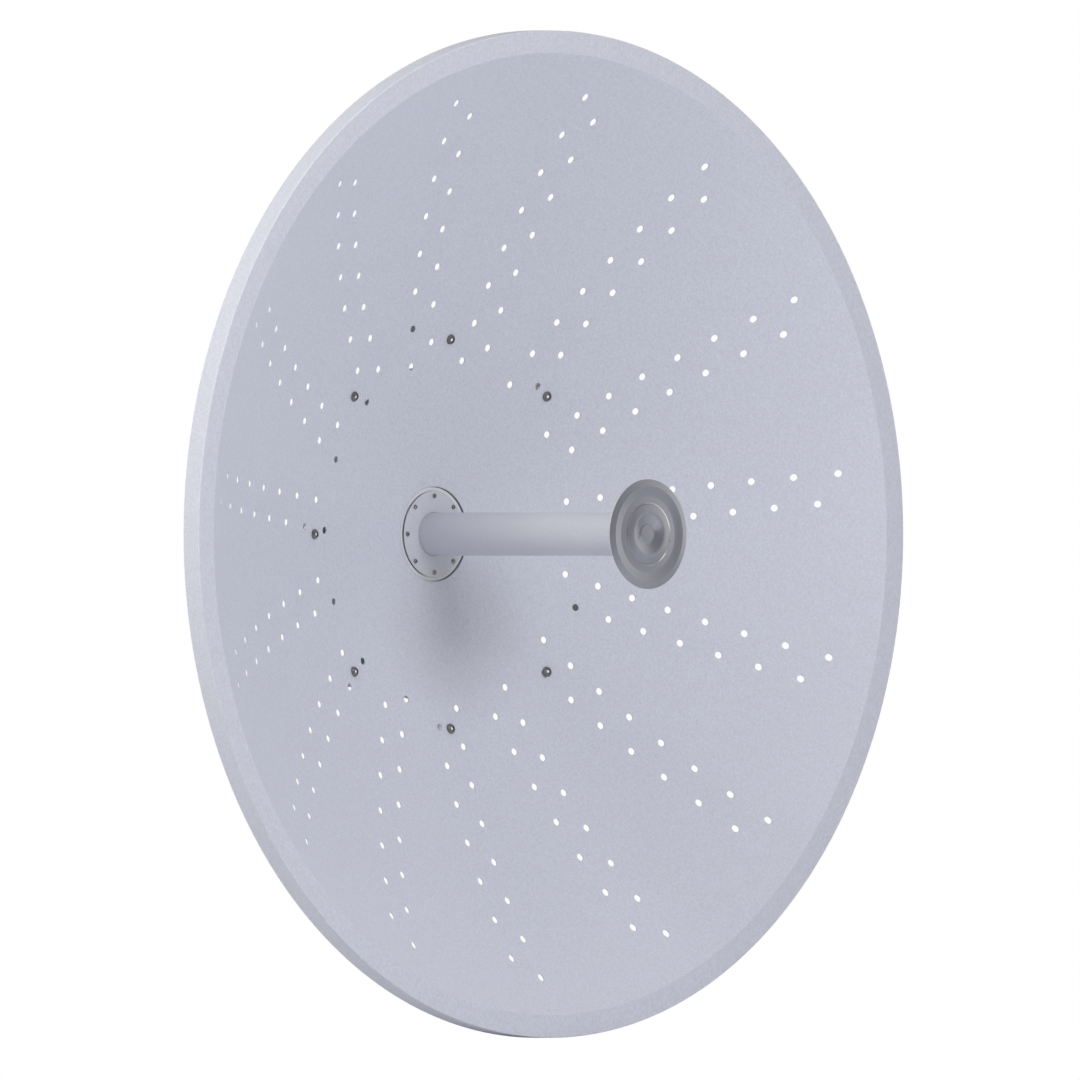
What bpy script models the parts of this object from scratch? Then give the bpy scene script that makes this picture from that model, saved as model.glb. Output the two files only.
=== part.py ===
# Parabolic dish antenna: a pressed reflector with a tube feed on its axis.
# Metres, +Z up. The dish looks along -Y. The origin is the middle of the flat
# rear face of the mounting flange, which is bolted to a mast bracket.
# Inside the functions, pieces are drawn in the dish's own frame: x to the right
# as seen from the front, y up, and z forward along the dish axis from the vertex
# of the reflector's front surface.

import math

import bmesh
import bpy
from mathutils import Matrix
from mathutils import Vector

# Clearance between touching pieces
GAP = 0.0003

# Reflector
VERTEX_TO_MOUNT = 0.065
RIM_RADIUS = 0.525
LIP_WIDTH = 0.0237
LIP_RISE = 0.0022
SKIRT_DEPTH = 0.0225
RIM_EDGE = 0.0012
SHEET = 0.002
BOWL_SQUARE = 0.6012
BOWL_FOURTH = 0.3222
REFLECTOR_SEGMENTS = 60
RINGS = (0.052, 0.112, 0.152, 0.192, 0.212, 0.252, 0.312, 0.372, 0.432)

# Hole pattern: each arm has two rows of holes beside it
ARM_COUNT = 15
ARM_DOWN = math.radians(270)
HOLE_RADIUS = 0.004
HOLE_SIDES = 6
HOLE_PITCH = 0.0401
ROW_OFFSET = 0.015
LONG_ROW = (8, 0.1815)
SHORT_ROW = (7, 0.2015)
PLUGGED = ((8, LONG_ROW, 1, ROW_OFFSET), (3, SHORT_ROW, 0, -ROW_OFFSET))
PLUG_RADIUS = 0.0030

# Eight screws that carry the reflector on the back plate
SCREW_COUNT = 8
SCREW_CIRCLE = 0.203
SCREW_RADIUS = 0.003
SCREW_HEAD_RADIUS = 0.00535
SCREW_HEAD_HEIGHT = 0.0033
SCREW_LENGTH = 0.0172
SCREW_SIDES = 12
CLEARANCE_RADIUS = 0.0036
SPACER_RADIUS = 0.012
SPACER_LENGTH = 0.0042
NUT_RADIUS = 0.00577
NUT_HEIGHT = 0.005

# Back plate, a shallow pan that runs parallel to the reflector
PLATE = 0.003
PLATE_RADIUS = 0.178
PLATE_FLOOR_RADIUS = 0.110
LUG_HALF_WIDTH = 0.015
LUG_REACH = 0.038
LUG_INSET = 0.0003
PLATE_SEGMENTS = 48

# Feed
TUBE_RADIUS = 0.0225
TUBE_WALL = 0.002
TUBE_BACK = -0.0144
FLANGE_RADIUS = 0.0508
FLANGE_FACE = 0.0038
FLANGE_UNDERSIDE = (0.00065, 0.0019)
FLANGE_LIP_WIDTH = 0.0045
FLANGE_LIP_HEIGHT = 0.0017
FLANGE_SCREW_CIRCLE = 0.040
FLANGE_SCREW_HEAD_RADIUS = 0.0025
FLANGE_SCREW_RADIUS = 0.0015
FLANGE_SCREW_LENGTH = 0.0115
FLANGE_SCREW_HOLE = 0.0021
FEED_SEGMENTS = 48

# Sub-reflector, radii and distances from the vertex
SUB_RADIUS = 0.0574
SUB_EDGE = 0.3147
SUB_BEVEL_RADIUS = 0.0500
SUB_BEVEL = 0.3166
SUB_DISH_RADIUS = 0.0405
SUB_DISH = 0.3146
SUB_STEP_RADIUS = 0.0313
SUB_STEP = 0.3155
SUB_CREST_RADII = (0.0240, 0.0215)
SUB_CREST = 0.3170
SUB_FLOOR_RADIUS = 0.0110
SUB_FLOOR = 0.3130
SUB_BACK = 0.3098
SUB_EDGE_THICKNESS = 0.0006

# Hub behind the reflector
BOSS_RADIUS = 0.052
COLLAR_RADIUS = 0.062
COLLAR_THICKNESS = 0.006
BLOCK_WIDTH = 0.080
BLOCK_EDGE = 0.006
MOUNT_RADIUS = 0.070
MOUNT_THICKNESS = 0.008
BRACKET_BOLT_CIRCLE = 0.058
BRACKET_BOLT_HOLE = 0.0045
PORT_SPACING = 0.036
PORT_BASE_RADIUS = 0.0095
PORT_BASE_HEIGHT = 0.004
PORT_RADIUS = 0.0065
PORT_LENGTH = 0.018
PORT_BORE = 0.0042
PORT_BORE_DEPTH = 0.010


def bowl_height(radius):
    return BOWL_SQUARE * radius ** 2 + BOWL_FOURTH * radius ** 4


def bowl_slope(radius):
    return 2 * BOWL_SQUARE * radius + 4 * BOWL_FOURTH * radius ** 3


def behind_bowl(radius, distance):
    # Point at a distance behind the front surface, along its normal
    slope = bowl_slope(radius)
    normal = math.hypot(1, slope)
    return radius + distance * slope / normal, bowl_height(radius) - distance / normal


# Scene

def clear_scene():
    for item in list(bpy.data.objects):
        bpy.data.objects.remove(item, do_unlink=True)


def new_collection(name):
    collection = bpy.data.collections.new(name)
    bpy.context.scene.collection.children.link(collection)
    return collection


def new_material(name, color, roughness, metallic):
    material = bpy.data.materials.new(name)
    material.use_nodes = True
    shader = material.node_tree.nodes["Principled BSDF"]
    shader.inputs["Base Color"].default_value = (*color, 1)
    shader.inputs["Roughness"].default_value = roughness
    shader.inputs["Metallic"].default_value = metallic
    material.diffuse_color = (*color, 1)
    return material


clear_scene()
antenna = new_collection("dish_antenna")
cutters = new_collection("cutters")

painted_sheet = new_material("painted_sheet", (0.50, 0.51, 0.58), 0.55, 0.0)
painted_feed = new_material("painted_feed", (0.47, 0.48, 0.54), 0.50, 0.0)
turned_metal = new_material("turned_metal", (0.36, 0.36, 0.38), 0.40, 0.8)
screw_steel = new_material("screw_steel", (0.30, 0.30, 0.30), 0.35, 0.9)
dark_plug = new_material("dark_plug", (0.18, 0.18, 0.18), 0.60, 0.0)
rear_metal = new_material("rear_metal", (0.42, 0.43, 0.46), 0.50, 0.3)

dish_frame = bpy.data.objects.new("dish_frame", None)
dish_frame.location = (0, -VERTEX_TO_MOUNT, 0)
dish_frame.rotation_euler = (math.radians(90), 0, 0)
antenna.objects.link(dish_frame)


def add_object(name, mesh, material, collection=antenna):
    item = bpy.data.objects.new(name, mesh)
    collection.objects.link(item)
    item.parent = dish_frame
    if material:
        mesh.materials.append(material)
    return item


def turned(name, profile, segments, material, closed=False):
    # The profile's points are (radius, height), down the outer side
    mesh = bpy.data.meshes.new(name)
    points = [(radius, 0, height) for radius, height in profile]
    edges = [(i, i + 1) for i in range(len(points) - 1)]
    if closed:
        edges.append((len(points) - 1, 0))
    mesh.from_pydata(points, edges, [])
    item = add_object(name, mesh, material)
    screw = item.modifiers.new("turn", "SCREW")
    screw.axis = "Z"
    screw.angle = math.radians(360)
    screw.steps = segments
    screw.render_steps = segments
    screw.use_merge_vertices = True
    screw.merge_threshold = 0.00001
    screw.use_smooth_shade = True
    return item


def cut(item, cutter):
    boolean = item.modifiers.new("cut", "BOOLEAN")
    boolean.operation = "DIFFERENCE"
    boolean.solver = "EXACT"
    boolean.object = cutter


def join(item, other):
    boolean = item.modifiers.new("join", "BOOLEAN")
    boolean.operation = "UNION"
    boolean.solver = "EXACT"
    boolean.object = other


def prisms(name, places, radius, sides, low, high):
    # One cutter of prisms that run from low to high along each place's z axis
    shape = bmesh.new()
    middle = Matrix.Translation((0, 0, (low + high) / 2))
    for place in places:
        bmesh.ops.create_cone(
            shape, cap_ends=True, segments=sides, radius1=radius, radius2=radius,
            depth=high - low, matrix=place @ middle)
    return cutter_from(name, shape)


def cutter_from(name, shape):
    mesh = bpy.data.meshes.new(name)
    shape.to_mesh(mesh)
    shape.free()
    cutter = add_object(name, mesh, None, cutters)
    cutter.hide_render = True
    cutter.display_type = "WIRE"
    return cutter


def circle_angles(count):
    return [index * math.tau / count for index in range(count)]


def upright_place(x, y, turn):
    return Matrix.Translation((x, y, 0)) @ Matrix.Rotation(turn, 4, "Z")


def upright_circle(count, circle):
    return [
        upright_place(circle * math.cos(angle), circle * math.sin(angle), angle)
        for angle in circle_angles(count)]


def bowl_place(circle, angle):
    # Stands the z axis along the reflector's normal, with x pointing outwards
    spot = (circle * math.cos(angle), circle * math.sin(angle), bowl_height(circle))
    tilt = Matrix.Rotation(-math.atan(bowl_slope(circle)), 4, "Y")
    return Matrix.Translation(spot) @ Matrix.Rotation(angle, 4, "Z") @ tilt


def equal_area_radius(radius, sides):
    # Corner radius of a polygon with the area of a circle
    return radius * math.sqrt(math.tau / (sides * math.sin(math.tau / sides)))


# Hole pattern

def arm_angle(arm):
    return ARM_DOWN + arm * math.tau / ARM_COUNT


def hole_place(arm, row, index, offset):
    along = row[1] + index * HOLE_PITCH
    angle = arm_angle(arm)
    x = along * math.cos(angle) - offset * math.sin(angle)
    y = along * math.sin(angle) + offset * math.cos(angle)
    return x, y, angle


def pattern_places():
    places = []
    for arm in range(ARM_COUNT):
        for row, offset in ((LONG_ROW, ROW_OFFSET), (SHORT_ROW, -ROW_OFFSET)):
            for index in range(row[0]):
                x, y, angle = hole_place(arm, row, index, offset)
                places.append(upright_place(x, y, angle))
    return places


# Reflector

def reflector_profile():
    radii = [TUBE_RADIUS + GAP, *RINGS, RIM_RADIUS - LIP_WIDTH]
    lip_inner = bowl_height(radii[-1])
    front = lip_inner + LIP_RISE
    skirt_end = front - SKIRT_DEPTH
    inner_skirt = RIM_RADIUS - SHEET
    profile = [(radius, bowl_height(radius)) for radius in radii]
    profile += [
        (RIM_RADIUS - RIM_EDGE, front),
        (RIM_RADIUS, front - RIM_EDGE),
        (RIM_RADIUS, skirt_end),
        (inner_skirt, skirt_end),
        (inner_skirt, front - SHEET - RIM_EDGE / 2),
        (radii[-1] + SHEET * math.tan(math.atan(bowl_slope(radii[-1])) / 2), lip_inner - SHEET)]
    profile += [behind_bowl(radius, SHEET) for radius in reversed(radii[1:-1])]
    profile.append((radii[0], bowl_height(radii[0]) - SHEET))
    return profile


def build_reflector():
    reflector = turned(
        "reflector", reflector_profile(), REFLECTOR_SEGMENTS, painted_sheet, closed=True)
    low = -2 * SCREW_LENGTH
    high = bowl_height(RIM_RADIUS)
    hole = equal_area_radius(HOLE_RADIUS, HOLE_SIDES)
    cut(reflector, prisms("hole_punches", pattern_places(), hole, HOLE_SIDES, low, high))
    places = [bowl_place(SCREW_CIRCLE, angle) for angle in circle_angles(SCREW_COUNT)]
    cut(reflector, prisms(
        "screw_drills", places, CLEARANCE_RADIUS, 8, -SCREW_LENGTH, SCREW_LENGTH))
    places = upright_circle(SCREW_COUNT, FLANGE_SCREW_CIRCLE)
    cut(reflector, prisms("flange_drills", places, FLANGE_SCREW_HOLE, 6, low, -low))


def build_hole_plugs():
    for number, (arm, row, index, offset) in enumerate(PLUGGED, start=1):
        x, y, _ = hole_place(arm, row, index, offset)
        profile = [(0, 0), (PLUG_RADIUS, 0), (PLUG_RADIUS, -SHEET), (0, -SHEET)]
        plug = turned(f"hole_plug_{number}", profile, 8, dark_plug)
        plug.matrix_local = bowl_place(math.hypot(x, y), math.atan2(y, x))


# Screws, spacers and nuts of the reflector

SPACER_FRONT = -SHEET - GAP
LUG_FRONT = SPACER_FRONT - SPACER_LENGTH - GAP
LUG_BACK = LUG_FRONT - PLATE + 2 * LUG_INSET


def reflector_screw(name):
    socket = SCREW_HEAD_RADIUS * 0.36
    floor = GAP + SCREW_HEAD_HEIGHT * 0.5
    profile = [
        (0, floor),
        (socket, floor),
        (socket, GAP + SCREW_HEAD_HEIGHT),
        (SCREW_HEAD_RADIUS * 0.62, GAP + SCREW_HEAD_HEIGHT * 0.88),
        (SCREW_HEAD_RADIUS, GAP + SCREW_HEAD_HEIGHT * 0.30),
        (SCREW_HEAD_RADIUS, GAP),
        (SCREW_RADIUS, GAP),
        (SCREW_RADIUS, -SCREW_LENGTH),
        (0, -SCREW_LENGTH)]
    return turned(name, profile, SCREW_SIDES, screw_steel)


def ring_profile(inner, outer, front, back):
    return [(inner, front), (outer, front), (outer, back), (inner, back)]


def build_reflector_fasteners():
    spacer_profile = ring_profile(
        CLEARANCE_RADIUS, SPACER_RADIUS, SPACER_FRONT, SPACER_FRONT - SPACER_LENGTH)
    nut_front = LUG_BACK - GAP
    nut_profile = ring_profile(
        SCREW_RADIUS + 2 * GAP, NUT_RADIUS, nut_front, nut_front - NUT_HEIGHT)
    for number, angle in enumerate(circle_angles(SCREW_COUNT), start=1):
        place = bowl_place(SCREW_CIRCLE, angle)
        screw = reflector_screw(f"reflector_screw_{number}")
        spacer = turned(
            f"spacer_{number}", spacer_profile, SCREW_SIDES, rear_metal, closed=True)
        nut = turned(f"nut_{number}", nut_profile, 6, screw_steel, closed=True)
        for item in (screw, spacer, nut):
            item.matrix_local = place


# Back plate with a lug behind each reflector screw

def plate_line(radius):
    # Front of the plate's cone, which runs on through the lugs' front faces
    slope = bowl_slope(SCREW_CIRCLE)
    normal = math.hypot(1, slope)
    drop = -(LUG_FRONT + LUG_INSET)
    base_radius = SCREW_CIRCLE + drop * slope / normal
    base_height = bowl_height(SCREW_CIRCLE) - drop / normal
    return base_height + slope * (radius - base_radius)


FLOOR_FRONT = plate_line(PLATE_FLOOR_RADIUS)
FLOOR_BACK = FLOOR_FRONT - PLATE


def lug_shapes():
    # Tongues with round ends, drawn round each screw and sunk into the cone
    shape = bmesh.new()
    arc_steps = 6
    outline = [(-LUG_REACH, LUG_HALF_WIDTH), (-LUG_REACH, -LUG_HALF_WIDTH)]
    for step in range(arc_steps + 1):
        angle = -math.pi / 2 + math.pi * step / arc_steps
        outline.append((LUG_HALF_WIDTH * math.cos(angle), LUG_HALF_WIDTH * math.sin(angle)))
    for angle in circle_angles(SCREW_COUNT):
        place = bowl_place(SCREW_CIRCLE, angle)
        corners = [shape.verts.new(place @ Vector((x, y, LUG_BACK))) for x, y in outline]
        face = shape.faces.new(corners)
        raised = bmesh.ops.extrude_face_region(shape, geom=[face])["geom"]
        lift = place.to_3x3() @ Vector((0, 0, LUG_FRONT - LUG_BACK))
        moved = [item for item in raised if isinstance(item, bmesh.types.BMVert)]
        bmesh.ops.translate(shape, verts=moved, vec=lift)
    bmesh.ops.recalc_face_normals(shape, faces=shape.faces)
    return cutter_from("lug_shapes", shape)


def build_back_plate():
    slope = math.atan(bowl_slope(SCREW_CIRCLE))
    inner = BOSS_RADIUS + GAP
    rim_front = plate_line(PLATE_RADIUS)
    profile = [
        (inner, FLOOR_FRONT),
        (PLATE_FLOOR_RADIUS, FLOOR_FRONT),
        (PLATE_RADIUS, rim_front),
        (PLATE_RADIUS + PLATE * math.sin(slope), rim_front - PLATE * math.cos(slope)),
        (PLATE_FLOOR_RADIUS + PLATE * math.tan(slope / 2), FLOOR_BACK),
        (inner, FLOOR_BACK)]
    plate = turned("back_plate", profile, PLATE_SEGMENTS, rear_metal, closed=True)
    join(plate, lug_shapes())
    places = [bowl_place(SCREW_CIRCLE, angle) for angle in circle_angles(SCREW_COUNT)]
    cut(plate, prisms(
        "lug_drills", places, CLEARANCE_RADIUS, 8, -2 * SCREW_LENGTH, SCREW_LENGTH))


# Feed tube and its flange in front of the reflector

def build_feed():
    inner = TUBE_RADIUS + GAP
    lip_inner = FLANGE_RADIUS - FLANGE_LIP_WIDTH
    crest = FLANGE_FACE + FLANGE_LIP_HEIGHT
    profile = [
        (inner, FLANGE_FACE),
        (lip_inner, FLANGE_FACE),
        (lip_inner + FLANGE_LIP_WIDTH * 0.25, crest - FLANGE_LIP_HEIGHT * 0.1),
        (FLANGE_RADIUS - FLANGE_LIP_WIDTH * 0.35, crest),
        (FLANGE_RADIUS, FLANGE_FACE),
        (FLANGE_RADIUS, FLANGE_UNDERSIDE[1]),
        (inner, FLANGE_UNDERSIDE[0])]
    flange = turned("feed_flange", profile, FEED_SEGMENTS, painted_feed, closed=True)
    places = upright_circle(SCREW_COUNT, FLANGE_SCREW_CIRCLE)
    cut(flange, prisms(
        "flange_face_drills", places, FLANGE_SCREW_HOLE, 6, -FLANGE_FACE, 2 * crest))
    tube = ring_profile(TUBE_RADIUS - TUBE_WALL, TUBE_RADIUS, SUB_BACK - GAP, TUBE_BACK)
    turned("feed_tube", tube, FEED_SEGMENTS, painted_feed, closed=True)


def build_flange_screws():
    head = FLANGE_SCREW_HEAD_RADIUS
    face = FLANGE_FACE + GAP
    profile = [
        (0, face + head * 0.7),
        (head * 0.7, face + head * 0.55),
        (head, face),
        (FLANGE_SCREW_RADIUS, face),
        (FLANGE_SCREW_RADIUS, FLANGE_FACE - FLANGE_SCREW_LENGTH),
        (0, FLANGE_FACE - FLANGE_SCREW_LENGTH)]
    places = upright_circle(SCREW_COUNT, FLANGE_SCREW_CIRCLE)
    for number, place in enumerate(places, start=1):
        screw = turned(f"flange_screw_{number}", profile, 8, screw_steel)
        screw.matrix_local = place


# Sub-reflector on the end of the tube

def build_subreflector():
    profile = [
        (0, SUB_FLOOR),
        (SUB_FLOOR_RADIUS, SUB_FLOOR),
        (SUB_CREST_RADII[1], SUB_CREST),
        (SUB_CREST_RADII[0], SUB_CREST),
        (SUB_STEP_RADIUS, SUB_STEP),
        (SUB_DISH_RADIUS, SUB_DISH),
        (SUB_BEVEL_RADIUS, SUB_BEVEL),
        (SUB_RADIUS, SUB_EDGE),
        (SUB_RADIUS, SUB_EDGE - SUB_EDGE_THICKNESS),
        (SUB_BEVEL_RADIUS, SUB_BACK),
        (0, SUB_BACK)]
    turned("sub_reflector", profile, FEED_SEGMENTS, turned_metal)


# Hub behind the reflector

COLLAR_FRONT = FLOOR_BACK - GAP
COLLAR_BACK = COLLAR_FRONT - COLLAR_THICKNESS
MOUNT_FRONT = MOUNT_THICKNESS - VERTEX_TO_MOUNT
BLOCK_FRONT = COLLAR_BACK - GAP
BLOCK_BACK = MOUNT_FRONT + GAP


def build_hub_collar():
    bore = TUBE_RADIUS + GAP
    profile = [
        (bore, bowl_height(bore) - SHEET - GAP),
        (BOSS_RADIUS, bowl_height(bore) - SHEET - GAP),
        (BOSS_RADIUS, COLLAR_FRONT),
        (COLLAR_RADIUS, COLLAR_FRONT),
        (COLLAR_RADIUS, COLLAR_BACK),
        (bore, COLLAR_BACK)]
    collar = turned("hub_collar", profile, FEED_SEGMENTS, rear_metal, closed=True)
    places = upright_circle(SCREW_COUNT, FLANGE_SCREW_CIRCLE)
    deepest = FLANGE_FACE - FLANGE_SCREW_LENGTH - 2 * GAP
    cut(collar, prisms(
        "collar_drills", places, FLANGE_SCREW_HOLE, 6, deepest, FLANGE_FACE))


def build_feed_block():
    shape = bmesh.new()
    size = Matrix.Diagonal((BLOCK_WIDTH, BLOCK_WIDTH, BLOCK_FRONT - BLOCK_BACK, 1))
    middle = Matrix.Translation((0, 0, (BLOCK_FRONT + BLOCK_BACK) / 2))
    bmesh.ops.create_cube(shape, size=1, matrix=middle @ size)
    mesh = bpy.data.meshes.new("feed_block")
    shape.to_mesh(mesh)
    shape.free()
    block = add_object("feed_block", mesh, rear_metal)
    bevel = block.modifiers.new("edges", "BEVEL")
    bevel.width = BLOCK_EDGE
    bevel.segments = 2
    bevel.limit_method = "ANGLE"


def build_ports():
    profile = [
        (0, PORT_LENGTH - PORT_BORE_DEPTH),
        (PORT_BORE, PORT_LENGTH - PORT_BORE_DEPTH),
        (PORT_BORE, PORT_LENGTH),
        (PORT_RADIUS, PORT_LENGTH),
        (PORT_RADIUS, PORT_BASE_HEIGHT),
        (PORT_BASE_RADIUS, PORT_BASE_HEIGHT),
        (PORT_BASE_RADIUS, 0),
        (0, 0)]
    for number, side in enumerate((-1, 1), start=1):
        port = turned(f"coax_port_{number}", profile, 12, turned_metal)
        port.location = (
            side * PORT_SPACING / 2, -BLOCK_WIDTH / 2 - GAP, (BLOCK_FRONT + BLOCK_BACK) / 2)
        port.rotation_euler = (math.radians(90), 0, 0)


def build_mounting_flange():
    back = -VERTEX_TO_MOUNT
    profile = [(0, MOUNT_FRONT), (MOUNT_RADIUS, MOUNT_FRONT), (MOUNT_RADIUS, back), (0, back)]
    flange = turned("mounting_flange", profile, FEED_SEGMENTS, rear_metal)
    places = upright_circle(4, BRACKET_BOLT_CIRCLE)
    cut(flange, prisms(
        "bracket_drills", places, BRACKET_BOLT_HOLE, 8, 2 * back, MOUNT_THICKNESS))


build_reflector()
build_hole_plugs()
build_reflector_fasteners()
build_back_plate()
build_feed()
build_flange_screws()
build_subreflector()
build_hub_collar()
build_feed_block()
build_ports()
build_mounting_flange()
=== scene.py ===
# Parabolic dish antenna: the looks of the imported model, piece by piece.
# Pieces are drawn in the dish's own frame, x to the right, y up and z forward from
# the bowl's lowest point, and are then set down in the row's metres.

import math

import bmesh
import bpy
from mathutils import Matrix, Vector
from mathutils.geometry import delaunay_2d_cdt


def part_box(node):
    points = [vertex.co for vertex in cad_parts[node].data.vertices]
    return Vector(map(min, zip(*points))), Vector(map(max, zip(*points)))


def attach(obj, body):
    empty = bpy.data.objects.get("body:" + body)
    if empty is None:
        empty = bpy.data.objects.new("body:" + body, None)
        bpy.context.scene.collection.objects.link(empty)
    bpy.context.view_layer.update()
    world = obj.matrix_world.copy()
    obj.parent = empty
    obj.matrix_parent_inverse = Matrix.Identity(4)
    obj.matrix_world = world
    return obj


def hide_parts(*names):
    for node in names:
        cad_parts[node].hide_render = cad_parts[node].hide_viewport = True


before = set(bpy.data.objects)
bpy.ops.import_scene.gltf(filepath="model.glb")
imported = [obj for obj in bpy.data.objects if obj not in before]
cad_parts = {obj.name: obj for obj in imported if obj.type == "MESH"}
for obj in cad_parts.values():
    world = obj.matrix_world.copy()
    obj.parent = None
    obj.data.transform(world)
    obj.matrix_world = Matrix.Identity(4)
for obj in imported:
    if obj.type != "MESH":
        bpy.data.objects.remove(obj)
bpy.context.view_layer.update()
print("model loaded,", len(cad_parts), "nodes")

bowlDistance = 0.065  # from the mounting face forward to the bowl's lowest point
dishFrame = Matrix.Translation((0, -bowlDistance, 0)) @ Matrix.Rotation(math.radians(90), 4, "X")
fullTurn = math.tau
sharpAngle = 35  # degrees; edges that bend more than this show as edges
filletShare = 0.48  # how much of a side a fillet may take
hair = 0.0001  # the least step from one ring to the next


# small helpers for shapes

def smoothStep(low, high, value):
    part = min(max((value - low) / (high - low), 0), 1)
    return part * part * (3 - 2 * part)


def circleAngles(count, start=0.0):
    return [start + fullTurn * index / count for index in range(count)]


def spotAt(radius, angle, x=0.0, y=0.0):
    return x + radius * math.cos(angle), y + radius * math.sin(angle)


def turnSpot(x, y, angle):
    return (x * math.cos(angle) - y * math.sin(angle),
            x * math.sin(angle) + y * math.cos(angle))


def circleLoop(x, y, radius, count, start=0.0):
    return [spotAt(radius, angle, x, y) for angle in circleAngles(count, start)]


def offsetLoop(loop, distance):
    # an anticlockwise loop grows outwards by the distance
    moved = []
    for index, spot in enumerate(loop):
        ahead = Vector(loop[(index + 1) % len(loop)]) - Vector(loop[index - 1])
        side = Vector((ahead.y, -ahead.x)).normalized() * distance
        moved.append((spot[0] + side.x, spot[1] + side.y))
    return moved


def rounded(profile, steps=3, closed=False):
    # corners are (radius, height) or (radius, height, fillet)
    points = []
    for index, corner in enumerate(profile):
        here = Vector(corner[:2])
        atEnd = not closed and index in (0, len(profile) - 1)
        if len(corner) < 3 or atEnd:
            points.append(tuple(here))
            continue
        back = Vector(profile[index - 1][:2]) - here
        ahead = Vector(profile[(index + 1) % len(profile)][:2]) - here
        half = back.angle(ahead) / 2
        reach = min(corner[2] / math.tan(half), back.length * filletShare,
                    ahead.length * filletShare)
        radius = reach * math.tan(half)
        back.normalize()
        ahead.normalize()
        middle = here + (back + ahead).normalized() * radius / math.sin(half)
        first = here + back * reach - middle
        last = here + ahead * reach - middle
        sweep = math.pi - 2 * half
        for step in range(steps + 1):
            part = step / steps
            spoke = first * math.sin((1 - part) * sweep) + last * math.sin(part * sweep)
            points.append(tuple(middle + spoke / math.sin(sweep)))
    return points


def bridgeRings(faces, rings, closed=False):
    # a ring is a list of vertex numbers, or one number for a pole
    pairs = list(zip(rings, rings[1:]))
    if closed:
        pairs.append((rings[-1], rings[0]))
    for upper, lower in pairs:
        count = max(len(upper), len(lower))
        for k in range(count):
            n = (k + 1) % count
            corners = (upper[k % len(upper)], lower[k % len(lower)],
                       lower[n % len(lower)], upper[n % len(upper)])
            face = tuple(dict.fromkeys(corners))
            if len(face) > 2:
                faces.append(face)


def ringShape(rings, closed=False):
    # each ring is a list of (x, y, z), all of one length, or a single point
    verts, faces, numbers = [], [], []
    for ring in rings:
        numbers.append(list(range(len(verts), len(verts) + len(ring))))
        verts += ring
    bridgeRings(faces, numbers, closed)
    return verts, faces


def roundRing(radius, height, segments):
    if radius < 1e-6:
        return [(0, 0, height)]
    return [(*spotAt(radius, angle), height) for angle in circleAngles(segments)]


def hexRing(acrossFlats, height, segments, face=0.0, chamfer=0.0):
    # past the face's radius the ring drops with a chamfer, or rises if it is below zero
    ring = []
    for angle in circleAngles(segments):
        radius = acrossFlats / 2 / math.cos((angle % (math.pi / 3)) - math.pi / 6)
        ring.append((*spotAt(radius, angle), height - (radius - face) * chamfer))
    return ring


def roundRings(profile, segments):
    return [roundRing(radius, height, segments) for radius, height in profile]


def turnedShape(profile, segments, closed=False):
    return ringShape(roundRings(profile, segments), closed)


def turnedRing(corners, segments, steps=3):
    return turnedShape(rounded(corners, steps, closed=True), segments, closed=True)


def threadProfile(size, radius, top, bottom):
    # crests and roots of a thread, from the top down
    points = []
    depth = size["threadDepth"]
    turns = max(1, round((top - bottom) / size["pitch"]))
    step = (top - bottom) / turns
    for turn in range(turns):
        start = top - turn * step
        points += [(radius, start), (radius, start - step * 0.15),
                   (radius - depth, start - step * 0.5), (radius - depth, start - step * 0.6)]
    points.append((radius, bottom))
    return points


def addObject(name, data):
    made = bpy.data.objects.new(name, data)
    bpy.context.scene.collection.objects.link(made)
    return made


def addPiece(name, shape, materials, nodes=(), place=dishFrame,
             sharp=sharpAngle):
    verts, faces = shape
    mesh = bpy.data.meshes.new(name)
    mesh.from_pydata([place @ Vector(spot) for spot in verts], [], faces)
    work = bmesh.new()
    work.from_mesh(mesh)
    bmesh.ops.remove_doubles(work, verts=work.verts, dist=1e-6)
    bmesh.ops.recalc_face_normals(work, faces=work.faces)
    for face in work.faces:
        face.smooth = True
    work.to_mesh(mesh)
    work.free()
    mesh.set_sharp_from_angle(angle=math.radians(sharp))
    for material in materials:
        mesh.materials.append(material)
    piece = addObject(name, mesh)
    shading = piece.modifiers.new("cleanShading", "WEIGHTED_NORMAL")
    shading.keep_sharp = True
    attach(piece, "root")
    if nodes:
        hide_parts(*nodes)
    return piece


def finishFaces(piece, place, chosen):
    # gives each face a material by its radius, height and upward direction at the place
    inward = place.inverted()
    turn = inward.to_3x3()
    for face in piece.data.polygons:
        spot = inward @ face.center
        radius = math.hypot(spot.x, spot.y)
        face.material_index = chosen(radius, spot.z, (turn @ face.normal).z)


drillReach = 0.02


def boreBit(radius, bottom):
    return [(0, bottom), (radius, bottom), (radius, drillReach), (0, drillReach)]


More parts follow.
